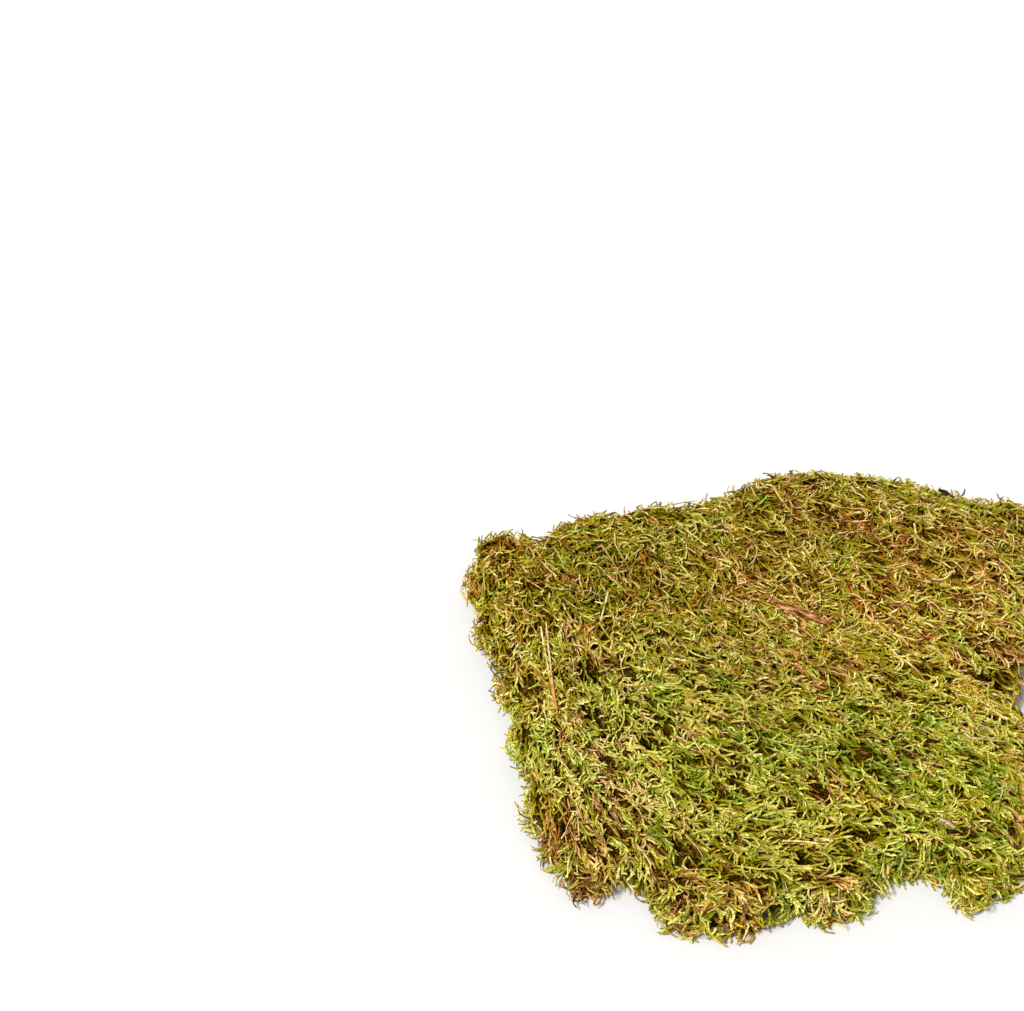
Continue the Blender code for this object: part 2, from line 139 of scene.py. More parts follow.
# How far up the outside faces, as the height of its unit normal, where shoots of a kind begin to grow and
# where they are as dense as on top, and where the rim begins and ends.
SPRIGS_FACE = (-0.75, -0.2)
LYING_FACE = (-0.9, -0.3)
FIBRES_FACE = -0.3
RIM_FACES = (0.35, 0.8)
HANGING_FACES = (0.35, 0.85)

# How shoots creep: their bend near the root and how much it grows to the tip, how early they rise to their
# tip's height, how often a line is smoothed, how far up an overhang counts as facing, how few of the ragged
# tips reach far out, and where along itself a shoot is widest.
ROOT_BEND = 0.2
BEND_GROWTH = 1.6
EARLY_RISE = 1.8
SMOOTHINGS = 2
LEAST_FACING = 0.02
RAGGEDNESS = 2.5
WIDEST_AT = 0.4

# Shoots that lie singly: short ones that fill the gaps under the sprigs, bare old stems under them, and
# long stray ones on top. Dead is the share of them that is dead.
Lying = namedtuple("Lying", "form count length radius depth turn dead light")
UNDER_SHOOTS = Lying(
    UNDER_SHOOT, 6000, (5 * MM, 11 * MM), (0.5 * MM, 0.85 * MM), (-4.0 * MM, -1.8 * MM), 1.0, 0.05, 0.35,
)
OLD_STEMS = Lying(
    OLD_STEM, 300, (10 * MM, 24 * MM), (0.4 * MM, 0.75 * MM), (-4.5 * MM, -1.5 * MM), 2.2, 1.0, 0.35,
)
STRAYS = Lying(
    STRAY, 160, (15 * MM, 28 * MM), (0.40 * MM, 0.65 * MM), (-1.0 * MM, 0.8 * MM), 2.4, 0.12, 0.85,
)
LYING_RISE = (-0.5 * MM, 2.0 * MM)
LYING_SCATTER = 0.2

# Shoots that arch over the litter: the surface of litter to each, and their length, arch and turn.
COVER_AREA = 14.0 * MM * MM
BARK_COVER_AREA = 7.0 * MM * MM
COVER_LENGTH = (7 * MM, 13 * MM)
COVER_ARCH = (1.5 * MM, 3.5 * MM)
COVER_TURN = 0.8
# How far along itself such a shoot crosses the litter.
CROSSING = (0.3, 0.7)

# Torn fibres that lie along the pieces of bark: the surface of bark to each, the share of the bark about
# its middle that they grow from, their making, and the length of bark from which on they are full length.
FIBRE_AREA = 9.0 * MM * MM
FIBRE_SHARE = 0.8
FIBRE_LENGTH = (4 * MM, 11 * MM)
FIBRE_RADIUS = (0.18 * MM, 0.42 * MM)
FIBRE_TURN = 0.5
FIBRE_SWING = 0.16
FIBRE_ROOT = 0.1 * MM
FIBRE_RISE = (0.1 * MM, 1.2 * MM)
LONG_BARK = 30 * MM

# The spacing of the leaves along a shoot, and the width of a dead shoot as a share of a living one's.
LEAF_STEP = 1.2 * MM
DEAD_WIDTH = 0.72

# No point of a shoot lies lower than this.
LOWEST_SHOOT = 0.2 * MM

# The pieces that the sprigs are parted into: along X at these places, and along Y at the middle.
COLUMNS = ("left", "middle", "right")
COLUMN_ENDS = (-62 * MM, 62 * MM)
ROWS = ("front", "back")

# The heights over the solid, and over the floor, between which the shoots turn from dark to full colour,
# and the share of it that they keep on the floor. This darkening low down is partly the older parts' own
# browner colour and partly painted shade. At the back, which begins and is in full at the two places along Y,
# low parts are darker still, likewise partly painted shade.
HEIGHTS = (-5.0 * MM, 1.0 * MM)
FLOOR_HEIGHTS = (0.0 * MM, 7.0 * MM)
FLOOR_LIGHT = 0.65
BEHIND = (-60 * MM, 60 * MM)
BACK_CONTRAST = 1.2
BACK_DARKER = 0.12

# The way the shoots lie in each part of the mat, in degrees from +X seen from above, and where along X or Y
# one part fades into the next.
COMB_MIDDLE = -42
COMB_LEFT = -82
COMB_FRONT = 0
COMB_RIGHT = -32
COMB_BACK = -56
LEFT_FADE = (-180 * MM, -40 * MM)
FRONT_FADE = (-132 * MM, -104 * MM)
FRONT_STARTS = (-55 * MM, -15 * MM)
FRONT_ENDS = (55 * MM, 95 * MM)
RIGHT_FADE = (90 * MM, 150 * MM)
BACK_FADE = (20 * MM, 70 * MM)

# How the headings scatter about that way, the share of shoots that run backwards, and how far those on the
# rim swing aside and hang.
HEADING_SCATTER = 0.15
BACKWARDS = 0.25
RIM_SWING = 1.5
RIM_HANG = 0.4

# Smooth noise over the mat: its amount, the size of its features and its own offset in the noise.
Drift = namedtuple("Drift", "amount size offset")
HEADING_DRIFT = Drift(0.2, 25 * MM, 3.0)
HUE_DRIFTS = (Drift(0.17, 20 * MM, 9.0), Drift(0.27, 6 * MM, 29.0))
DEAD_DRIFT = Drift(0.10, 16 * MM, 17.0)
DEAD_CLUSTERS = Drift(1.0, 8 * MM, 37.0)
LIGHT_DRIFT = Drift(0.14, 8 * MM, 43.0)
# Brings the noise to about -1 to 1.
NOISE_REACH = 1.6

# Pits where the shoots part and the dark inside shows: place and spread, in millimetres.
PITS_MM = (
    (-111, -8, 6), (-117, -10, 5), (-113, -43, 5), (-108, -59, 4), (-83, -69, 4), (-73, -62, 4),
    (-164, 8, 5), (-32, 14, 4), (-18, 10, 4), (65, -29, 4), (114, 13, 5), (127, -14, 6), (9, -106, 6),
    (-7, -146, 4), (19, -150, 4), (-131, -118, 4), (118, 66, 4), (-106, 20, 4), (-64, -146, 4),
    (-54, -152, 4), (-46, -158, 4), (-72, -136, 3), (25, -131, 4), (66, 93, 3), (-37, -100, 3),
    (40, -95, 3),
)
# How far the core dips in them, the share of shoots that leaves them free, and how much darker the rest is,
# as painted shade in the pits.
PIT_DEPTH = 9 * MM
PIT_CLEARED = 0.9
PIT_SHADE = 0.65

# Patches where the shoots have another colour: place and spread, in millimetres. Brown ones have mostly
# dead dark shoots, and tan ones dead pale shoots.
GOLD_MM = (
    (27, 3, 24), (8, -20, 22), (-67, 34, 14), (92, -15, 16), (-102, -59, 12), (-125, 31, 12),
    (-120, 5, 14), (-125, -60, 12), (-98, -95, 14), (60, 25, 20), (10, 60, 14), (9, -95, 8),
    (-30, -22, 24), (-70, -62, 18),
)
RUST_MM = (
    (121, 94, 17), (83, 89, 14), (64, 94, 9), (114, 56, 10), (63, 61, 10), (9, 34, 8), (17, -18, 9),
    (20, 143, 10), (-18, 68, 11), (-37, 61, 6), (146, 103, 10), (-81, 52, 9), (-39, -172, 12),
    (-132, -32, 9), (-135, -112, 13), (-107, -139, 10), (-98, -97, 6), (9, -106, 7), (149, 68, 12),
    (76, -128, 5),
)
BROWN_MM = (
    (-137, -120, 14), (-119, -155, 17), (-107, -112, 9), (-76, -165, 9), (-76, -144, 9), (-30, -170, 6),
    (9, -106, 8), (130, 0, 16), (124, 21, 11), (104, -4, 12), (-111, -85, 7), (-124, -63, 7),
    (164, 128, 9), (51, 113, 10), (-99, -120, 8), (-167, 0, 12), (105, -127, 9), (2, 79, 7), (110, 52, 8),
    (90, 79, 6), (67, 90, 5), (85, 88, 6), (112, 57, 6), (-88, -152, 7), (132, -30, 10),
)
TAN_MM = (
    (-130, 8, 5), (-123, 7, 6), (-115, 6, 6), (-107, -1, 6), (-101, -9, 5), (-94, -16, 5), (-94, 12, 4),
    (-130, -61, 5), (-134, -64, 5), (-114, -59, 4), (-100, -71, 5), (-90, -42, 4), (-67, -61, 4),
    (-108, -73, 4), (-125, -89, 7), (-118, -94, 7), (104, 30, 4), (128, 8, 4), (5, -160, 6),
)
GREEN_MM = (
    (-27, -74, 16), (24, -60, 18), (43, -64, 20), (70, -59, 14), (-72, -92, 14), (45, -92, 16),
    (-52, -96, 14), (-97, 98, 11), (-105, 61, 11), (-118, 43, 8), (147, 79, 9), (113, 133, 10),
    (102, -92, 12), (-98, -40, 9), (-57, 126, 12), (-28, 108, 12), (-114, 117, 11), (75, 50, 10),
    (-145, -56, 12), (-37, -102, 12), (-88, -134, 11), (69, -133, 13), (60, -105, 13), (-122, -22, 7),
    (-92, 22, 7), (-120, -92, 8),
)
BRIGHT_MM = (
    (-17, -124, 25), (45, -134, 19), (85, -147, 16), (-51, -162, 10), (-21, -160, 15), (106, 98, 10),
    (53, 79, 16), (93, 43, 16), (-130, 43, 10), (-141, -40, 11), (-87, -134, 9), (95, -85, 19),
    (62, -149, 12), (-98, -45, 34), (-105, -95, 24), (-110, -20, 20),
)
# Where the shoots are duller as a whole, and by how much.
DULL_MM = ((-22, -5, 60), (-110, 80, 50), (-50, 90, 60), (20, 120, 60), (90, 120, 60), (160, 110, 50))
DULLED = 0.20

# What sets the colour of a shoot, each from 0 to 1: its hue from green to rust, the chance that it is dead,
# and its lightness. The first is for the mat as a whole, and the others are added at the back, the left
# side, the shaded back left corner and in the patches.
Tint = namedtuple("Tint", "hue dead light")
PLAIN = Tint(0.355, 0.06, 0.60)
BACK = Tint(0.14, 0.07, -0.05)
LEFT = Tint(0.0, 0.0, 0.10)
SHADED = Tint(0.0, 0.0, -0.12)
PATCHES = (
    (GOLD_MM, Tint(0.12, 0.0, 0.0)),
    (RUST_MM, Tint(0.36, 0.16, 0.0)),
    (BROWN_MM, Tint(0.0, 0.75, -0.31)),
    (TAN_MM, Tint(0.0, 0.6, 0.34)),
    (GREEN_MM, Tint(-0.27, 0.0, 0.0)),
    (BRIGHT_MM, Tint(-0.06, -0.05, 0.10)),
)
# Where along X the left side and the shaded corner fade out.
LEFT_ENDS = (-90 * MM, -50 * MM)
SHADED_ENDS = (-110 * MM, -60 * MM)
# How dense the clusters of dead shoots are, and how far chance spreads the hue of a sprig, the hue and the
# lightness of a shoot, and that lightness further at the back.
CLUSTERED = 0.75
SPRIG_HUES = 0.06
SHOOT_HUES = 0.05
SHOOT_LIGHTS = 0.23
BACK_LIGHTS = 0.20

# Colours by hue, those of dead shoots by lightness, and those of pale tips by hue. The pale tips are partly
# the dry tips' own colour and partly painted highlight.
LIVING_COLOURS = (
    (0.0, (0.105, 0.160, 0.001)),
    (0.25, (0.255, 0.270, 0.006)),
    (0.45, (0.385, 0.325, 0.014)),
    (0.65, (0.440, 0.305, 0.022)),
    (0.82, (0.450, 0.205, 0.018)),
    (1.0, (0.320, 0.095, 0.006)),
)
DEAD_COLOURS = (
    (0.0, (0.060, 0.026, 0.003)),
    (0.35, (0.245, 0.108, 0.022)),
    (0.7, (0.470, 0.250, 0.090)),
    (1.0, (0.660, 0.430, 0.210)),
)
PALE_TIP_AND_HIGHLIGHT_COLOURS = (
    (0.1, (0.525, 0.585, 0.115)),
    (0.4, (0.66, 0.61, 0.20)),
    (0.8, (0.77, 0.60, 0.30)),
)
# The colours of the thatch by its noise, its darkest partly painted shade, and how open it is to light by how
# deep in a pit it lies, a painted shade over its real dip.
THATCH_AND_SHADE_COLOURS = (
    (0.38, (0.003, 0.002, 0.0001)),
    (0.50, (0.038, 0.022, 0.001)),
    (0.62, (0.180, 0.110, 0.006)),
)
OPEN_IN_PIT = (0.2, 0.8, 1.0, 0.15)
# Factors on a colour for dead shoots in rusty places, and for what lies deep, partly the older parts' browner
# colour and partly painted shade.
RUSTIER = (1.08, 0.76, 0.58)
DEEPER = (0.44, 0.31, 0.03)
# How a share or a factor follows from a value: two of the value, and the two that they give.
RUSTIER_BY_HUE = (0.4, 0.8, 0.0, 1.0)
PALE_BY_LIGHT = (0.40, 1.0, 0.0, 0.75)
PALE_ALONG = (0.0, 0.5, 0.5, 1.0)
PALE_IF_DEAD = (0.0, 1.0, 1.0, 0.35)
FULL_BY_HEIGHT = (0.05, 0.7, 0.0, 1.0)
SHADE_ALONG = (0.0, 0.8, 0.7, 1.12)
SHADE_BY_LIGHT = (0.0, 1.0, 0.75, 1.22)
SHADE_BY_LEAF = (0.0, 1.0, 0.74, 1.24)
SHADE_BY_STEP = (-1.0, 1.0, 0.72, 1.22)
SHADE_BY_GRAIN = (0.35, 0.65, 0.70, 1.26)
STREAKS = (0.35, 0.65, 0.5, 1.4)
# Noises: their scale, detail and, in the litter, stretch along the piece. The three colours of the litter lie
# at the stops of its blotches.
SHOOT_GRAIN = (1500.0, 2.0)
SHOOT_RELIEF = (1300.0, 2.0)
THATCH_FIBRES = (1100.0, 4.0)
LITTER_FIBRES = (1500.0, 3.0, 10.0)
LITTER_BLOTCHES = (420.0, 4.0, 3.0)
BLOTCH_STOPS = (0.36, 0.5, 0.64)
# Roughness and gloss, and the strength and depth of the relief. The gloss of plant matter is faint and
# warm.
SHOOT_FINISH = (0.7, 0.04)
SHOOT_BUMP = (0.6, 0.4 * MM)
THATCH_FINISH = (0.95, 0.02)
THATCH_BUMP = (1.0, 2.0 * MM)
LITTER_GLOSS = 0.1
LITTER_RELIEF = 1.0
GLOSS_TINT = (1.0, 0.80, 0.20)

# The litter: three colours from dark to pale, the roughness and the depth of the fibres.
LITTER = {
    "dry_needle": (((0.46, 0.24, 0.07), (0.72, 0.52, 0.25), (0.92, 0.76, 0.46)), 0.6, 0.3 * MM),
    "straw": (((0.34, 0.24, 0.08), (0.58, 0.45, 0.17), (0.80, 0.65, 0.30)), 0.6, 0.3 * MM),
    "twig": (((0.05, 0.025, 0.010), (0.16, 0.095, 0.04), (0.42, 0.30, 0.14)), 0.8, 0.6 * MM),
    "bark": (((0.10, 0.030, 0.008), (0.45, 0.18, 0.065), (0.84, 0.50, 0.25)), 0.85, 1.5 * MM),
    "dark_bark": (((0.015, 0.010, 0.006), (0.05, 0.03, 0.018), (0.14, 0.095, 0.05)), 0.9, 1.5 * MM),
}
# Pieces whose colours differ from those of their kind.
OWN_COLOURS = {
    "bark_flake": ((0.10, 0.05, 0.03), (0.40, 0.25, 0.17), (0.74, 0.57, 0.43)),
    "pink_stem": ((0.28, 0.14, 0.08), (0.55, 0.34, 0.20), (0.84, 0.60, 0.38)),
    "grey_needle": ((0.22, 0.17, 0.10), (0.40, 0.33, 0.22), (0.62, 0.54, 0.38)),
}
# Pieces with another colour at their near end: where that ends and fades out along Y, and the colour.
BASES = {"pine_needle_pair": (-32 * MM, -4 * MM, (0.52, 0.22, 0.035))}
# The share of that colour there, and past where it fades out.
BASE_FADE = (0.9, 0.0)


class Surface:
    """The outside of a mesh, such as the mat or a piece of litter."""

    def __init__(self, mesh):
        mesh.calc_loop_triangles()
        self.corners = np.array([vertex.co for vertex in mesh.vertices])
        self.faces = np.array([face.vertices for face in mesh.loop_triangles])
        self.tree = BVHTree.FromPolygons(self.corners.tolist(), self.faces.tolist())
        sides = self.corners[self.faces]
        across = np.cross(sides[:, 1] - sides[:, 0], sides[:, 2] - sides[:, 0])
        size = np.linalg.norm(across, axis=1)
        self.areas = size / 2
        self.normals = across / np.maximum(size, 1e-12)[:, None]

    def scatter(self, count, weights, rng):
        """Random places on the outside, as many on each face as its area and weight say."""
        share = self.areas * weights
        chosen = rng.choice(len(self.faces), count, p=share / share.sum())
        mix = rng.random((count, 2))
        mix = np.where(mix.sum(axis=1, keepdims=True) > 1, 1 - mix, mix)
        a, b, c = (self.corners[self.faces[chosen, k]] for k in range(3))
        return a + mix[:, :1] * (b - a) + mix[:, 1:] * (c - a)

    def nearest(self, places):
        """The nearest point of the outside to each place, and which way it faces."""
        feet = np.empty_like(places)
        facing = np.empty_like(places)
        for i, place in enumerate(places):
            foot, normal, _, _ = self.tree.find_nearest(place)
            feet[i] = foot
            facing[i] = normal
        return feet, facing


def unit(vectors):
    """The vectors at length 1."""
    return vectors / np.maximum(np.linalg.norm(vectors, axis=-1, keepdims=True), 1e-9)


def between(limits, count, rng):
    """Random values, as likely anywhere between the limits."""
    return rng.uniform(limits[0], limits[1], count)


def ragged(limits, count, rng):
    """Mostly near the lower limit, and a few out to the upper one."""
    return limits[0] + (limits[1] - limits[0]) * rng.random(count) ** RAGGEDNESS


def step_up(values, start, end):
    """0 before start, 1 after end, and smooth between them."""
    share = np.clip((values - start) / (end - start), 0, 1)
    return share * share * (3 - 2 * share)


def patchy(places, patches):
    """How far each place lies in one of the patches, from 0 to 1."""
    field = np.zeros(len(places))
    for x, y, spread in patches:
        away = np.hypot(places[:, 0] - x * MM, places[:, 1] - y * MM)
        field = np.maximum(field, np.exp(-((away / (spread * MM)) ** 2)))
    return field


def drift(places, kind):
    """Smooth noise over the mat, about -1 to 1 times its amount."""
    offset = Vector((kind.offset, 0, 0))
    values = np.array([noise.noise(Vector(place) / kind.size + offset) for place in places])
    return kind.amount * (values * NOISE_REACH)


def full_colour(feet, heights):
    """How much of its full colour a shoot shows: less low down and near the floor, partly as its older
    parts are browner and partly as painted shade, and less in pits as painted shade.
    """
    lit = np.clip((heights - HEIGHTS[0]) / (HEIGHTS[1] - HEIGHTS[0]), 0, 1)
    back = step_up(feet[:, 1], *BEHIND)
    lit = lit ** (1 + BACK_CONTRAST * back) * (1 - BACK_DARKER * back)
    # Painted shade near the floor, together with the older low parts' browner colour.
    lit *= FLOOR_LIGHT + (1 - FLOOR_LIGHT) * step_up(feet[:, 2], *FLOOR_HEIGHTS)
    # Painted shade in the pits.
    return lit * (1 - PIT_SHADE * patchy(feet, PITS_MM))


def comb_angle(places):
    """The way the shoots lie, as an angle from +X seen from above."""
    x, y = places[:, 0], places[:, 1]
    angle = np.full(len(places), float(COMB_MIDDLE))
    in_front = 1 - step_up(y, *FRONT_FADE)
    for comb, share in (
        (COMB_BACK, step_up(y, *BACK_FADE)),
        (COMB_RIGHT, step_up(x, *RIGHT_FADE)),
        (COMB_LEFT, 1 - step_up(x, *LEFT_FADE)),
        (COMB_FRONT, in_front * step_up(x, *FRONT_STARTS) * (1 - step_up(x, *FRONT_ENDS))),
    ):
        angle += (comb - angle) * share
    return np.radians(angle)


def level(angles):
    """Level unit vectors at these angles from +X."""
    return np.stack([np.cos(angles), np.sin(angles), np.zeros(len(angles))], axis=1)


def start_headings(places, facing, rng):
    """Which way each shoot sets off: combed on the top, outwards and down round the rim."""
    count = len(places)
    angle = comb_angle(places) + drift(places, HEADING_DRIFT) + rng.normal(0, HEADING_SCATTER, count)
    angle += np.where(rng.random(count) < BACKWARDS, math.pi, 0)
    combed = level(angle)
    outward = unit(places * (1, 1, 0)) + facing * (1, 1, 0)
    swing = rng.normal(0, RIM_SWING, count)
    turned = np.stack([-outward[:, 1], outward[:, 0], np.zeros(count)], axis=1) * swing[:, None]
    hanging = unit(outward + turned - np.array([0, 0, RIM_HANG]))
    rim = 1 - step_up(facing[:, 2], *HANGING_FACES)
    return unit(combed * (1 - rim[:, None]) + hanging * rim[:, None])


# Where shoots set off and which way, how long they get and how far they turn, the depth of their roots, the
# heights of their tips and arches, and their radii.
Growth = namedtuple("Growth", "places heading length turn root tip arch radii")


class Shoots:
    """Shoots of one form that creep along a surface.

    Each sets off at its place and heading, turns as it goes, and runs from its root's depth under the
    surface to its tip's height over it.
    """

    def __init__(self, form, surface, growth, colours):
        self.form = form
        self.length = growth.length
        self.radii = growth.radii * (1 - (1 - DEAD_WIDTH) * colours["dead"])
        self.colours = colours
        self.lines = np.empty((len(growth.places), form.rings, 3))
        self.facings = np.empty_like(self.lines)
        self.heights = np.empty(self.lines.shape[:2])
        self.creep(surface, growth)

    def creep(self, surface, growth):
        last = self.form.rings - 1
        stride = growth.length / last
        places, heading = growth.places, growth.heading
        for ring in range(last + 1):
            feet, facing = surface.nearest(places)
            facing[:, 2] = np.maximum(facing[:, 2], LEAST_FACING)
            facing = unit(facing)
            if ring:
                facing = unit(facing + self.facings[:, ring - 1])
            share = ring / last
            below = (1 - share) ** EARLY_RISE
            height = growth.root * below + growth.tip * (1 - below)
            height = height + growth.arch * math.sin(math.pi * share)
            self.lines[:, ring] = feet + facing * height[:, None]
            self.facings[:, ring] = facing
            self.heights[:, ring] = full_colour(feet, height)
            heading = unit(heading - (heading * facing).sum(axis=1, keepdims=True) * facing)
            bend = growth.turn * (ROOT_BEND + BEND_GROWTH * share) / last
            side = np.cross(facing, heading)
            heading = np.cos(bend)[:, None] * heading + np.sin(bend)[:, None] * side
            places = feet + heading * stride[:, None]
        for _ in range(SMOOTHINGS):
            smooth = self.lines[:, :-2] + self.lines[:, 2:]
            self.lines[:, 1:-1] = self.lines[:, 1:-1] / 2 + smooth / 4

    def chosen(self, mask):
        """Those of the shoots that the mask picks."""
        part = copy(self)
        for name in ("length", "radii", "lines", "facings", "heights"):
            setattr(part, name, getattr(self, name)[mask])
        part.colours = {name: values[mask] for name, values in self.colours.items()}
        return part

    def tubes(self, rng):
        """Points and triangles of a closed tube along each line, and the values at its points."""
        count, rings = self.lines.shape[:2]
        sides = self.form.sides
        forward = unit(np.gradient(self.lines, axis=1))
        side = unit(np.cross(forward, self.facings))
        up = np.cross(side, forward)
        along = np.linspace(0, 1, rings)
        toothed = 1 + self.form.teeth * np.cos(math.pi * np.arange(rings))
        reach = self.radii[:, None] * np.interp(along, (0, WIDEST_AT, 1), self.form.widths) * toothed
        angle = 2 * math.pi / sides * (np.arange(sides) + np.arange(rings)[:, None] / 2)
        angle = angle + rng.uniform(0, 2 * math.pi, count)[:, None, None]
        around = np.cos(angle)[..., None] * side[:, :, None] + np.sin(angle)[..., None] * up[:, :, None]
        rounds = (self.lines[:, :, None] + reach[..., None, None] * around).reshape(count, -1, 3)
        tips = self.lines[:, -1] + forward[:, -1] * (self.radii * self.form.point)[:, None]
        points = np.concatenate([rounds, tips[:, None]], axis=1)
        points[..., 2] = np.maximum(points[..., 2], LOWEST_SHOOT)
        # The height value is the share of full colour, which carries the painted shade low down, near the
        # floor and in pits.
        values = {
            "along": np.tile(np.append(np.repeat(along, sides), 1.0), (count, 1)),
            "reach": self.length[:, None] * np.append(np.repeat(along, sides), 1.0),
            "height": np.append(np.repeat(self.heights, sides, axis=1), self.heights[:, -1:], axis=1),
            "leaf": rng.random(points.shape[:2]),
        }
        for name, value in self.colours.items():
            values[name] = np.repeat(value[:, None], points.shape[1], axis=1)
        return points, tube_faces(sides, rings), values


def tube_faces(sides, rings):
    """Triangles of one closed tube whose rings are turned by half a side, with a point at its end."""
    faces = []
    for ring in range(rings - 1):
        for k in range(sides):
            a, b = ring * sides + k, ring * sides + (k + 1) % sides
            faces += [(a, b, a + sides), (a + sides, b, b + sides)]
    last = (rings - 1) * sides
    faces += [(last + k, last + (k + 1) % sides, last + sides) for k in range(sides)]
    faces += [(k + 1, k, 0) for k in range(1, sides - 1)]
    return np.array(faces)


def shoots_piece(name, groups, material, rng):
    """One mesh piece of all the shoots in the groups."""
    all_points, all_faces, layers = [], [], {}
    start = 0
    for group in groups:
        points, faces, values = group.tubes(rng)
        count, per_shoot = points.shape[:2]
        offsets = start + np.arange(count) * per_shoot
        all_points.append(points.reshape(-1, 3))
        all_faces.append((faces[None] + offsets[:, None, None]).reshape(-1, 3))
        for layer, value in values.items():
            layers.setdefault(layer, []).append(value.ravel())
        start += count * per_shoot
    layers = {layer: np.concatenate(values) for layer, values in layers.items()}
    mesh = mesh_from(name, np.concatenate(all_points), np.concatenate(all_faces), layers)
    mesh.materials.append(material)
    piece = bpy.data.objects.new(name, mesh)
    bpy.context.scene.collection.objects.link(piece)
    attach(piece, "root")


def mesh_from(name, points, faces, layers):
    mesh = bpy.data.meshes.new(name)
    mesh.vertices.add(len(points))
    mesh.vertices.foreach_set("co", points.astype(np.float32).ravel())
    mesh.loops.add(faces.size)
    mesh.loops.foreach_set("vertex_index", faces.astype(np.int32).ravel())
    mesh.polygons.add(len(faces))
    mesh.polygons.foreach_set("loop_start", np.arange(0, faces.size, 3, dtype=np.int32))
    mesh.update(calc_edges=True)
    mesh.shade_flat()
    for layer, values in layers.items():
        attribute = mesh.attributes.new(layer, "FLOAT", "POINT")
        attribute.data.foreach_set("value", values.astype(np.float32))
    return mesh


def growing_places(surface, count, rng):
    """Places for sprigs: none underneath, and more round the rim."""
    upright = surface.normals[:, 2]
    weights = step_up(upright, *SPRIGS_FACE) * (1 + RIM_DENSER * (1 - np.abs(upright)))
    places = surface.scatter(count * TRIES, weights, rng)
    feet, facing = surface.nearest(places)
    flat = step_up(facing[:, 2], *RIM_FACES)
    return spread_out(feet, RIM_GAP + (SPRIG_GAP - RIM_GAP) * flat)[:count]


def spread_out(places, gaps):
    """Those of the places that keep their gap to all that are kept before them."""
    cells = {}
    kept = []
    for place, gap, (i, j, k) in zip(places, gaps, np.floor(places / gaps.max()).astype(int).tolist()):
        around = product((i - 1, i, i + 1), (j - 1, j, j + 1), (k - 1, k, k + 1))
        near = [other for cell in around for other in cells.get(cell, ())]
        if not near or (((np.array(near) - place) ** 2).sum(axis=1) > gap ** 2).all():
            cells.setdefault((i, j, k), []).append(place)
            kept.append(place)
    return np.array(kept)


def shoot_colours(places, per_sprig, rng):
    """Numbers that set the colour of each shoot: its hue, lightness, tone and whether it is dead."""
    back = step_up(places[:, 1], *BEHIND)
    left = (1 - step_up(places[:, 0], *LEFT_ENDS)) * (1 - back)
    shaded = (1 - step_up(places[:, 0], *SHADED_ENDS)) * back
    fields = [(back, BACK), (left, LEFT), (shaded, SHADED)]
    fields += [(patchy(places, patches), tint) for patches, tint in PATCHES]
    hue, dead, light = (
        plain + sum(tint[k] * field for field, tint in fields) for k, plain in enumerate(PLAIN)
    )
    hue += sum(drift(places, kind) for kind in HUE_DRIFTS) + rng.normal(0, SPRIG_HUES, len(places))
    dead += drift(places, DEAD_DRIFT) + CLUSTERED * np.maximum(drift(places, DEAD_CLUSTERS), 0) ** 2
    light += drift(places, LIGHT_DRIFT)
    count = len(places) * per_sprig
    spread = np.repeat(SHOOT_LIGHTS + BACK_LIGHTS * back, per_sprig)
    return {
        "hue": np.clip(np.repeat(hue, per_sprig) + rng.normal(0, SHOOT_HUES, count), 0, 1),
        "light": np.clip(np.repeat(light, per_sprig) + rng.normal(0, 1, count) * spread, 0, 1),
        "dead": (rng.random(count) < np.repeat(dead, per_sprig)).astype(float),
        "tone": np.repeat(1 - DULLED * patchy(places, DULL_MM), per_sprig),
    }


def grow_sprigs(surface, rng):
    """Stems and side branches of all sprigs."""
    places = growing_places(surface, SPRIGS, rng)
    count = len(places)
    feet, facing = surface.nearest(places)
    rim = 1 - step_up(facing[:, 2], *RIM_FACES)
    back = step_up(feet[:, 1], *BACK_GROWTH)
    root = between(ROOT_DEPTH, count, rng)
    tip = between(TIP_RISE, count, rng) * (1 - rim) + ragged(RIM_TIP_RISE, count, rng) * rim
    growth = Growth(
        places=feet,
        heading=start_headings(feet, facing, rng),
        length=between(STEM_LENGTH, count, rng) * (1 + BACK_LONGER * back) * (1 - RIM_SHORTER * rim),
        turn=rng.normal(0, STEM_TURN, count) * (1 + BACK_CURLIER * back),
        root=root,
        tip=tip,
        arch=rng.normal(0, ARCH, count),
        radii=between(STEM_RADIUS, count, rng) * (1 - BACK_THINNER * back),
    )
    stems = Shoots(STEM, surface, growth, shoot_colours(feet, 1, rng))
    return stems, grow_branches(stems, surface, growth, rim, back, rng)


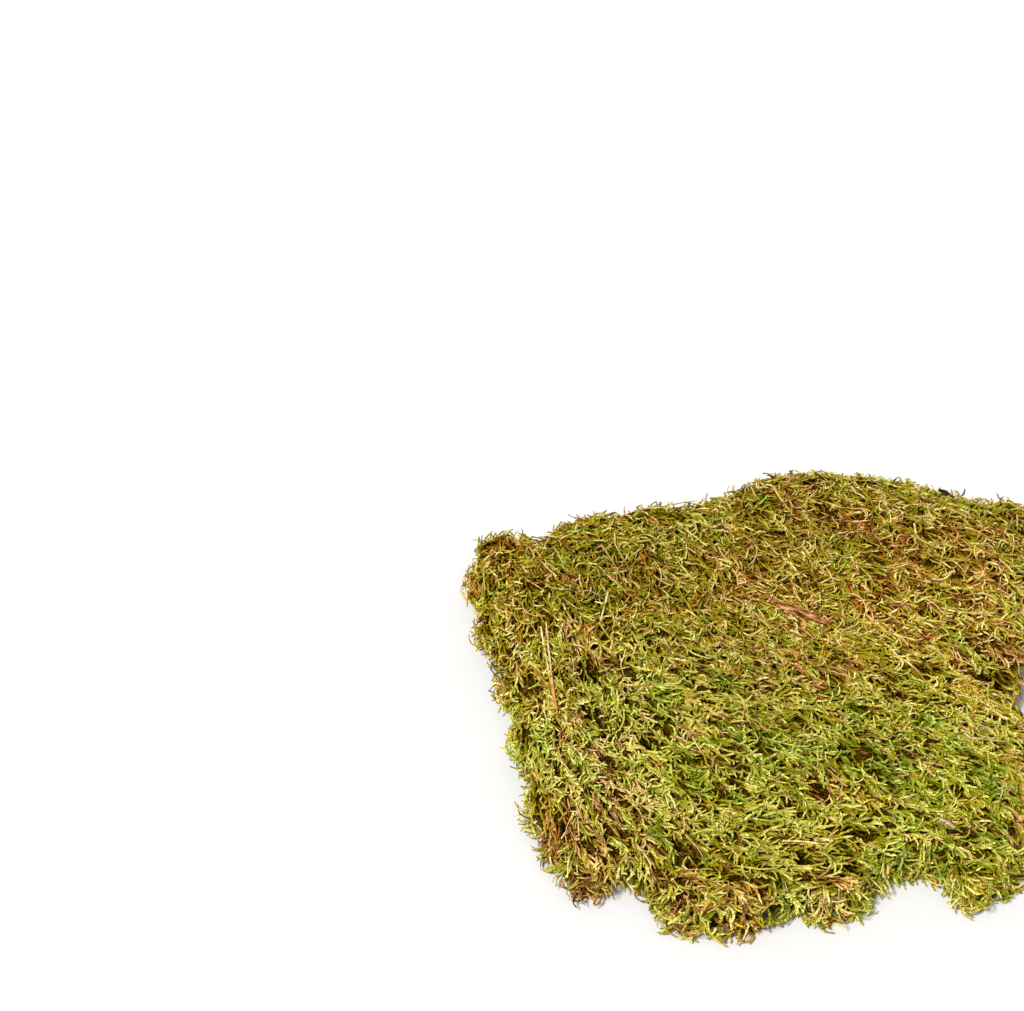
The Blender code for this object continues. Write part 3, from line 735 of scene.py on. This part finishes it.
def grow_branches(stems, surface, growth, rim, back, rng):
    """Side branches, set off from each stem to its left and right in turn."""
    shape = (len(stems.lines), BRANCHES)
    many = shape[0] * BRANCHES
    order = np.arange(BRANCHES)
    rim, back = rim[:, None], back[:, None]
    knots = 1 + order * (STEM.rings - 2) / BRANCHES
    low = np.floor(knots).astype(int)
    share = (knots - low)[None, :, None]
    starts = stems.lines[:, low] * (1 - share) + stems.lines[:, low + 1] * share
    ahead = unit(stems.lines[:, low + 1] - stems.lines[:, low])
    spread = rng.uniform(*BRANCH_SPREAD, shape) * np.where(order % 2, 1, -1)
    sideways = np.cross(stems.facings[:, low], ahead)
    headings = np.cos(spread)[..., None] * ahead + np.sin(spread)[..., None] * sideways
    depth = growth.root[:, None] * (1 - order / BRANCHES) + growth.tip[:, None] * order / BRANCHES
    curled = rng.random(shape) < CURLS
    flat_rise = np.where(curled, rng.uniform(*CURL_RISE, shape), rng.uniform(*TIP_RISE, shape))
    rise = flat_rise * (1 - rim) + ragged(RIM_TIP_RISE, shape, rng) * rim
    turn = rng.normal(0, 1, shape) * np.where(curled, CURL_TURN, BRANCH_TURN)
    turn = turn * (1 + BACK_CURLIER * back + RIM_CURLIER * rim)
    size = rng.uniform(*BRANCH_LENGTH, shape) * (1 - OUTER_SHORTER * order / BRANCHES)
    size = size * (1 + BACK_LONGER * back)
    branching = Growth(
        places=starts.reshape(many, 3),
        heading=headings.reshape(many, 3),
        length=size.ravel(),
        turn=turn.ravel(),
        root=(depth - BRANCH_UNDER).ravel(),
        tip=rise.ravel(),
        arch=rng.normal(0, ARCH, many),
        radii=between(BRANCH_RADIUS, many, rng) * np.repeat(1 - BACK_THINNER * back, BRANCHES),
    )
    return Shoots(BRANCH, surface, branching, shoot_colours(growth.places, BRANCHES, rng))


def grow_lying(surface, kind, rng):
    """Shoots of one kind that lie singly in the mat."""
    count = kind.count
    places = surface.scatter(count, step_up(surface.normals[:, 2], *LYING_FACE), rng)
    feet, facing = surface.nearest(places)
    root = between(kind.depth, count, rng)
    colours = shoot_colours(feet, 1, rng)
    colours["light"] = np.clip(rng.normal(kind.light, LYING_SCATTER, count), 0, 1)
    colours["dead"] = np.maximum(colours["dead"], rng.random(count) < kind.dead)
    growth = Growth(
        places=feet,
        heading=start_headings(feet, facing, rng),
        length=between(kind.length, count, rng),
        turn=rng.normal(0, kind.turn, count),
        root=root,
        tip=root + between(LYING_RISE, count, rng),
        arch=rng.normal(0, ARCH, count),
        radii=between(kind.radius, count, rng),
    )
    return Shoots(kind.form, surface, growth, colours)


def grow_cover(surface, rng):
    """Shoots that arch over the litter, so that it lies among the moss."""
    crossed = []
    for part in litter_parts():
        litter = Surface(frame["nodes"][part["node"]].data)
        area = BARK_COVER_AREA if "bark" in part["material_slot"] else COVER_AREA
        count = math.ceil(litter.areas.sum() / area)
        crossed.append(litter.scatter(count, np.ones(len(litter.faces)), rng))
    crossed = np.concatenate(crossed)
    count = len(crossed)
    feet, facing = surface.nearest(crossed)
    heading = start_headings(feet, facing, rng)
    length = between(COVER_LENGTH, count, rng)
    feet, facing = surface.nearest(feet - heading * length[:, None] * rng.uniform(*CROSSING, (count, 1)))
    growth = Growth(
        places=feet,
        heading=heading,
        length=length,
        turn=rng.normal(0, COVER_TURN, count),
        root=between(UNDER_SHOOTS.depth, count, rng),
        tip=between(TIP_RISE, count, rng),
        arch=between(COVER_ARCH, count, rng),
        radii=between(BRANCH_RADIUS, count, rng),
    )
    return Shoots(BRANCH, surface, growth, shoot_colours(feet, 1, rng))


def grow_fibres(mesh, rng):
    """Torn fibres along a piece of bark."""
    bark = Surface(mesh)
    places = bark.scatter(math.ceil(bark.areas.sum() / FIBRE_AREA), bark.normals[:, 2] > FIBRES_FACE, rng)
    middle = bark.corners.mean(axis=0)
    feet, _ = bark.nearest(middle + (places - middle) * (FIBRE_SHARE, FIBRE_SHARE, 1))
    count = len(feet)
    way = long_way(mesh) + rng.normal(0, FIBRE_SWING, count) + np.where(rng.random(count) < 0.5, math.pi, 0)
    heading = level(way)
    long_side = np.ptp(bark.corners[:, :2], axis=0).max()
    length = between(FIBRE_LENGTH, count, rng) * min(1, long_side / LONG_BARK)
    growth = Growth(
        places=feet - heading * length[:, None] / 2,
        heading=heading,
        length=length,
        turn=rng.normal(0, FIBRE_TURN, count),
        root=np.full(count, FIBRE_ROOT),
        tip=between(FIBRE_RISE, count, rng),
        arch=np.zeros(count),
        radii=between(FIBRE_RADIUS, count, rng),
    )
    colours = {name: np.zeros(count) for name in ("hue", "light", "dead", "tone")}
    return Shoots(FIBRE, bark, growth, colours)


def add_bark_fibres(rng):
    """A piece of fibres on each piece of bark, in its own colours."""
    for part in litter_parts():
        if "bark" in part["material_slot"]:
            node = frame["nodes"][part["node"]]
            fibres = grow_fibres(node.data, rng)
            material = node.material_slots[0].material
            shoots_piece(part["node"] + "_fibres", [fibres], material, rng)


def region_of(shoots):
    """Which part of the mat each shoot grows in: 0 to 2 along the front, and 3 to 5 along the back."""
    root = shoots.lines[:, 0]
    return np.searchsorted(COLUMN_ENDS, root[:, 0]) + len(COLUMNS) * (root[:, 1] > 0)


def clear_pits(shoots, rng):
    """The shoots without most of those that cross a pit."""
    count, rings = shoots.lines.shape[:2]
    crossing = patchy(shoots.lines.reshape(-1, 3), PITS_MM).reshape(count, rings).max(axis=1)
    return shoots.chosen(rng.random(count) > PIT_CLEARED * crossing)


def offset_mesh(source, offsets, voxel):
    """A copy of a closed mesh moved out or in along its normals by each offset in turn."""
    helper = bpy.data.objects.new("offset", source.copy())
    bpy.context.scene.collection.objects.link(helper)
    helper.modifiers.new("Even out", "REMESH").voxel_size = voxel
    for offset in offsets:
        move = helper.modifiers.new("Move", "DISPLACE")
        move.strength = offset
        move.mid_level = 0
        helper.modifiers.new("Close", "REMESH").voxel_size = voxel
    bpy.context.view_layer.update()
    graph = bpy.context.evaluated_depsgraph_get()
    mesh = bpy.data.meshes.new_from_object(helper.evaluated_get(graph))
    bpy.data.objects.remove(helper)
    mesh.materials.clear()
    return mesh


def make_core(guide):
    """The dark thatch inside, drawn in under the tips of the shoots but reaching down to the floor. Its
    darkness is partly its own and partly painted shade, more so in the pits.
    """
    mesh = offset_mesh(guide, (-CORE_DEPTH,), CORE_VOXEL)
    stretch = (CORE_FOOT - LOWEST_SHOOT) / (CORE_FOOT - CORE_DEPTH)
    pits = patchy(np.array([vertex.co for vertex in mesh.vertices]), PITS_MM)
    for vertex, pit in zip(mesh.vertices, pits):
        if vertex.co.z < CORE_FOOT:
            vertex.co.z = max(LOWEST_SHOOT, CORE_FOOT - (CORE_FOOT - vertex.co.z) * stretch)
        else:
            vertex.co.z = max(CORE_FOOT, vertex.co.z - PIT_DEPTH * pit)
    mesh.attributes.new("pit", "FLOAT", "POINT").data.foreach_set("value", pits.astype(np.float32))
    mesh.materials.append(thatch_material())
    core = bpy.data.objects.new("moss_thatch_and_shade", mesh)
    bpy.context.scene.collection.objects.link(core)
    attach(core, "root")
    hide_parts("moss_mat")
    return core


class Tree:
    """A node tree under construction."""

    def __init__(self, name):
        self.material = bpy.data.materials.new(name)
        self.material.use_nodes = True
        self.nodes = self.material.node_tree.nodes
        self.links = self.material.node_tree.links
        self.shader = self.nodes["Principled BSDF"]

    def node(self, kind, **settings):
        made = self.nodes.new(kind)
        for name, value in settings.items():
            setattr(made, name, value)
        return made

    def link(self, source, target):
        self.links.new(source, target)

    def attribute(self, name):
        return self.node("ShaderNodeAttribute", attribute_name=name).outputs["Fac"]

    def place(self):
        return self.node("ShaderNodeTexCoord").outputs["Object"]

    def noise(self, scale, detail, stretch=1.0, angle=0.0):
        """Noise in space, which may be drawn out along a level line at an angle from +X."""
        mapping = self.node("ShaderNodeMapping", vector_type="TEXTURE")
        mapping.inputs["Rotation"].default_value = (0, 0, angle)
        mapping.inputs["Scale"].default_value = (stretch, 1, 1)
        self.link(self.place(), mapping.inputs["Vector"])
        made = self.node("ShaderNodeTexNoise")
        made.inputs["Scale"].default_value = scale
        made.inputs["Detail"].default_value = detail
        self.link(mapping.outputs["Vector"], made.inputs["Vector"])
        return made.outputs["Fac"]

    def ramp(self, source, stops):
        made = self.node("ShaderNodeValToRGB")
        elements = made.color_ramp.elements
        while len(elements) < len(stops):
            elements.new(0.5)
        for element, (at, colour) in zip(elements, stops):
            element.position = at
            element.color = (*colour, 1)
        self.link(source, made.inputs["Fac"])
        return made.outputs["Color"]

    def mix(self, share, first, second, blend="MIX"):
        made = self.node("ShaderNodeMix", data_type="RGBA", blend_type=blend)
        for socket, value in zip((made.inputs[0], made.inputs[6], made.inputs[7]), (share, first, second)):
            if hasattr(value, "is_linked"):
                self.link(value, socket)
            else:
                socket.default_value = value if isinstance(value, float) else (*value, 1)
        return made.outputs[2]

    def map(self, source, low, high, to_low, to_high):
        made = self.node("ShaderNodeMapRange")
        for name, value in zip(("From Min", "From Max", "To Min", "To Max"), (low, high, to_low, to_high)):
            made.inputs[name].default_value = value
        self.link(source, made.inputs["Value"])
        return made.outputs["Result"]

    def wave(self, source, step):
        """Rises and falls from -1 to 1 once in each step of the source."""
        turned = self.node("ShaderNodeMath", operation="MULTIPLY")
        turned.inputs[1].default_value = 2 * math.pi / step
        self.link(source, turned.inputs[0])
        made = self.node("ShaderNodeMath", operation="SINE")
        self.link(turned.outputs[0], made.inputs[0])
        return made.outputs[0]

    def times(self, first, *others):
        for other in others:
            made = self.node("ShaderNodeMath", operation="MULTIPLY")
            self.link(first, made.inputs[0])
            self.link(other, made.inputs[1])
            first = made.outputs[0]
        return first

    def bump(self, relief, strength, distance):
        made = self.node("ShaderNodeBump")
        made.inputs["Strength"].default_value = strength
        made.inputs["Distance"].default_value = distance
        self.link(relief, made.inputs["Height"])
        self.link(made.outputs["Normal"], self.shader.inputs["Normal"])

    def dull(self, roughness, gloss):
        """A uniform roughness, and a faint warm gloss."""
        self.shader.inputs["Roughness"].default_value = roughness
        self.shader.inputs["Specular IOR Level"].default_value = gloss
        self.shader.inputs["Specular Tint"].default_value = (*GLOSS_TINT, 1)


def moss_material():
    """Living shoots from green through khaki to rust, and dead ones from dark to pinkish brown. Pale tips are
    partly painted highlight, and low parts are darkened partly by painted shade.
    """
    tree = Tree("moss_shoots")
    living = tree.ramp(tree.attribute("hue"), LIVING_COLOURS)
    dead = tree.ramp(tree.attribute("light"), DEAD_COLOURS)
    rusty = tree.mix(1.0, dead, RUSTIER, "MULTIPLY")
    dead = tree.mix(tree.map(tree.attribute("hue"), *RUSTIER_BY_HUE), dead, rusty)
    colour = tree.mix(tree.attribute("dead"), living, dead)
    light = tree.attribute("light")
    along = tree.attribute("along")
    height = tree.attribute("height")
    # Pale tips: partly the dry tips' own colour and partly painted highlight, less where painted shade lies.
    pale = tree.times(
        tree.map(light, *PALE_BY_LIGHT),
        tree.map(along, *PALE_ALONG),
        tree.map(tree.attribute("dead"), *PALE_IF_DEAD),
        height,
    )
    colour = tree.mix(pale, colour, tree.ramp(tree.attribute("hue"), PALE_TIP_AND_HIGHLIGHT_COLOURS))
    # Low parts are darker, partly by the older parts' browner colour and partly as painted shade.
    deep = tree.mix(1.0, colour, DEEPER, "MULTIPLY")
    colour = tree.mix(tree.map(height, *FULL_BY_HEIGHT), deep, colour)
    shade = tree.times(
        tree.attribute("tone"),
        tree.map(along, *SHADE_ALONG),
        tree.map(light, *SHADE_BY_LIGHT),
        tree.map(tree.attribute("leaf"), *SHADE_BY_LEAF),
        tree.map(tree.wave(tree.attribute("reach"), LEAF_STEP), *SHADE_BY_STEP),
        tree.map(tree.noise(*SHOOT_GRAIN), *SHADE_BY_GRAIN),
    )
    tree.link(tree.mix(1.0, colour, shade, "MULTIPLY"), tree.shader.inputs["Base Color"])
    tree.dull(*SHOOT_FINISH)
    tree.bump(tree.noise(*SHOOT_RELIEF), *SHOOT_BUMP)
    return tree.material


def thatch_material():
    """Dark matted brown fibres, whose darkest tones are partly painted shade, with painted shade in the pits.
    """
    tree = Tree("moss_thatch_and_shade")
    fibres = tree.noise(*THATCH_FIBRES)
    colour = tree.ramp(fibres, THATCH_AND_SHADE_COLOURS)
    # Painted shade: the thatch is darker the deeper it lies in a pit.
    open_share = tree.map(tree.attribute("pit"), *OPEN_IN_PIT)
    tree.link(tree.mix(1.0, colour, open_share, "MULTIPLY"), tree.shader.inputs["Base Color"])
    tree.dull(*THATCH_FINISH)
    tree.bump(fibres, *THATCH_BUMP)
    return tree.material


def litter_material(name, angle, colours, roughness, relief):
    """Dry needle, straw, twig or bark: blotches of three colours with fine fibres along the piece."""
    tree = Tree(name)
    fibres = tree.noise(*LITTER_FIBRES, angle)
    colour = tree.ramp(tree.noise(*LITTER_BLOTCHES, angle), tuple(zip(BLOTCH_STOPS, colours)))
    if name in BASES:
        start, end, base_colour = BASES[name]
        apart = tree.node("ShaderNodeSeparateXYZ")
        tree.link(tree.place(), apart.inputs[0])
        colour = tree.mix(tree.map(apart.outputs["Y"], start, end, *BASE_FADE), colour, base_colour)
    streak = tree.map(fibres, *STREAKS)
    tree.link(tree.mix(1.0, colour, streak, "MULTIPLY"), tree.shader.inputs["Base Color"])
    tree.dull(roughness, LITTER_GLOSS)
    tree.bump(fibres, LITTER_RELIEF, relief)
    return tree.material


def litter_parts():
    """The lines of the record for the pieces of litter."""
    return [part for part in frame["record"]["subparts"] if part["material_slot"] in LITTER]


def long_way(mesh):
    """The angle from +X, seen from above, of the line that a long thin mesh follows."""
    corners = np.array([vertex.co for vertex in mesh.vertices])[:, :2]
    _, _, ways = np.linalg.svd(corners - corners.mean(axis=0), full_matrices=False)
    return math.atan2(ways[0][1], ways[0][0])


def finish_litter():
    """A material on each piece of litter, with its fibres along the piece."""
    for part in litter_parts():
        node = frame["nodes"][part["node"]]
        colours, roughness, relief = LITTER[part["material_slot"]]
        colours = OWN_COLOURS.get(part["node"], colours)
        material = litter_material(part["node"], long_way(node.data), colours, roughness, relief)
        for slot in node.material_slots:
            slot.material = material


def add_stage():
    """A plain pale floor, which the light turns white but for soft shadows."""
    bpy.ops.mesh.primitive_plane_add(size=FLOOR_SIZE, location=(0, 0, -FLOOR_DROP))
    floor = bpy.context.object
    floor.name = "floor"
    tree = Tree("floor")
    tree.shader.inputs["Base Color"].default_value = (*FLOOR_COLOUR, 1)
    tree.shader.inputs["Roughness"].default_value = FLOOR_ROUGHNESS
    tree.shader.inputs["Specular IOR Level"].default_value = FLOOR_GLOSS
    floor.data.materials.append(tree.material)


def add_lights():
    """A sun-like key light and an even surround."""
    light = bpy.data.lights.new("key", "SUN")
    light.energy = KEY_STRENGTH
    light.angle = KEY_ANGLE
    light.color = KEY_COLOUR
    key = bpy.data.objects.new("key", light)
    key.rotation_euler = Vector(KEY_FROM).to_track_quat("Z", "Y").to_euler()
    bpy.context.scene.collection.objects.link(key)
    world = bpy.data.worlds.new("surround")
    world.use_nodes = True
    world.node_tree.nodes["Background"].inputs["Color"].default_value = (*SURROUND_COLOUR, 1)
    world.node_tree.nodes["Background"].inputs["Strength"].default_value = SURROUND_STRENGTH
    bpy.context.scene.world = world
    bpy.context.scene.view_settings.view_transform = "Standard"


def add_camera():
    data = bpy.data.cameras.new("camera")
    data.lens = CAMERA_LENS
    camera = bpy.data.objects.new("camera", data)
    camera.location = CAMERA_PLACE
    camera.rotation_euler = (math.pi / 2 - CAMERA_DOWN, 0, 0)
    bpy.context.scene.collection.objects.link(camera)
    bpy.context.scene.camera = camera


def main():
    rng = np.random.default_rng(SEED)
    add_camera()
    add_lights()
    add_stage()
    guide = offset_mesh(frame["nodes"]["moss_mat"].data, (BRIDGED, -BRIDGED), GUIDE_VOXEL)
    surface = Surface(guide)
    make_core(guide)
    material = moss_material()
    sprigs = [clear_pits(shoots, rng) for shoots in grow_sprigs(surface, rng)]
    for region, (row, column) in enumerate(product(ROWS, COLUMNS)):
        groups = [shoots.chosen(region_of(shoots) == region) for shoots in sprigs]
        shoots_piece(f"moss_shoots_{row}_{column}", groups, material, rng)
    lying = [grow_lying(surface, kind, rng) for kind in (UNDER_SHOOTS, OLD_STEMS, STRAYS)]
    lying.append(grow_cover(surface, rng))
    lying = [clear_pits(shoots, rng) for shoots in lying]
    shoots_piece("lying_shoots", lying, material, rng)
    finish_litter()
    add_bark_fibres(rng)


main()
